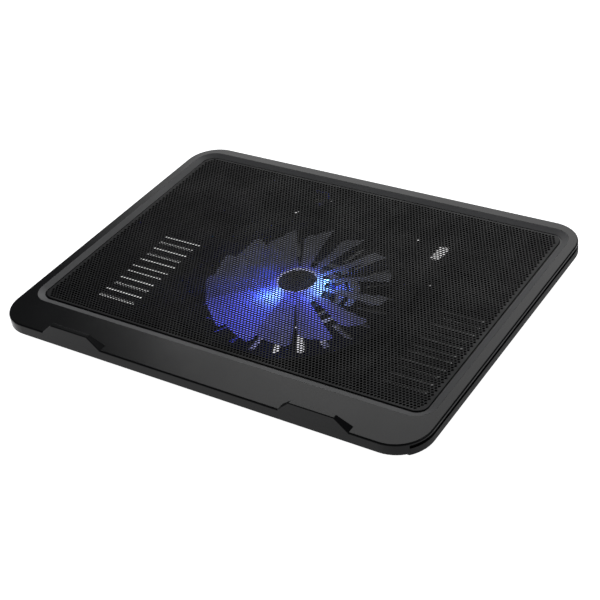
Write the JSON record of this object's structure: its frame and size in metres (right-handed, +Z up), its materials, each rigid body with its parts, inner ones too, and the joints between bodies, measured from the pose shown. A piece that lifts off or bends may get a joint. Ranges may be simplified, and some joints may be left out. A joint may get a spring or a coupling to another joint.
{
  "type": "laptop cooling pad",
  "caption": "Flat laptop cooling pad with a perforated deck over one large lit fan, two front stops, a vented tray, fold-out rear legs, a power inlet and a slide switch.",
  "frame": {"origin": "centre of the footprint on the surface that the rubber feet rest on", "axes": "+Z up, +X along the long side to the right, -Y towards the user, where the two stops stand"},
  "size_m": [0.355, 0.272, 0.033],
  "materials": {
    "tray_abs": "moulded black ABS, fine matte grain",
    "bezel_abs": "moulded black ABS, satin with a fine grain",
    "deck_steel": "black powder-coated perforated steel sheet",
    "feet_rubber": "soft black rubber",
    "leg_abs": "moulded black ABS",
    "pin_steel": "drawn steel pin",
    "screw_steel": "black zinc-plated steel",
    "impeller_clear": "smoky clear polycarbonate",
    "label_film": "dark printed film without text",
    "yoke_steel": "drawn steel cup",
    "magnet_ferrite": "sintered ferrite",
    "core_steel": "stacked electrical steel",
    "coil_copper": "enamelled copper wire",
    "sleeve_bronze": "sintered bronze",
    "motor_plastic": "black moulded plastic",
    "pcb_green": "green solder mask on glass epoxy",
    "led_lens": "clear epoxy lens, lit blue",
    "socket_steel": "tin-plated folded steel",
    "socket_plastic": "white nylon",
    "contact_gold": "gold-plated spring contacts",
    "switch_plastic": "black nylon",
    "connector_nylon": "natural nylon",
    "capacitor_can": "aluminium can",
    "wire_pvc": "PVC insulation, one red wire and one black"
  },
  "bodies": {
    "base": {"bottom_shell": "tray_abs", "top_bezel": "bezel_abs", "mesh_panel": "deck_steel", "rubber_feet": "feet_rubber", "case_screws": "screw_steel", "motor_screws": "screw_steel", "motor_base": "motor_plastic", "bearing_sleeve": "sleeve_bronze", "fan_pcb": "pcb_green", "stator_core": "core_steel", "stator_coils": "coil_copper", "fan_leds": "led_lens", "left_hinge_pin": "pin_steel", "right_hinge_pin": "pin_steel", "control_board": "pcb_green", "board_screws": "screw_steel", "usb_socket_shell": "socket_steel", "usb_socket_insert": "socket_plastic", "usb_contacts": "contact_gold", "switch_housing": "switch_plastic", "lead_connector": "connector_nylon", "board_capacitor": "capacitor_can", "fan_lead": "wire_pvc"},
    "rotor": {"rotor_shaft": "pin_steel", "shaft_clip": "pin_steel", "rotor_yoke": "yoke_steel", "rotor_magnet": "magnet_ferrite", "hub_label": "label_film", "impeller": "impeller_clear"},
    "left_leg_body": {"left_leg": "leg_abs", "left_leg_pad": "feet_rubber"},
    "right_leg_body": {"right_leg": "leg_abs", "right_leg_pad": "feet_rubber"},
    "switch_body": {"switch_slider": "switch_plastic"}
  },
  "joints": [
    {"name": "fan_spin", "type": "hinge", "parent": "base", "child": "rotor", "pos_m": [0.002, 0.002, 0.01], "axis": [0, 0, 1], "continuous": true},
    {"name": "left_leg_fold", "type": "hinge", "parent": "base", "child": "left_leg_body", "pos_m": [-0.112, 0.112, 0.0051], "axis": [1, 0, 0], "range_deg": [0, 105]},
    {"name": "right_leg_fold", "type": "hinge", "parent": "base", "child": "right_leg_body", "pos_m": [0.112, 0.112, 0.0051], "axis": [1, 0, 0], "range_deg": [0, 105]},
    {"name": "power_switch_slide", "type": "slide", "parent": "base", "child": "switch_body", "axis": [1, 0, 0], "range_m": [-0.003, 0]}
  ]
}
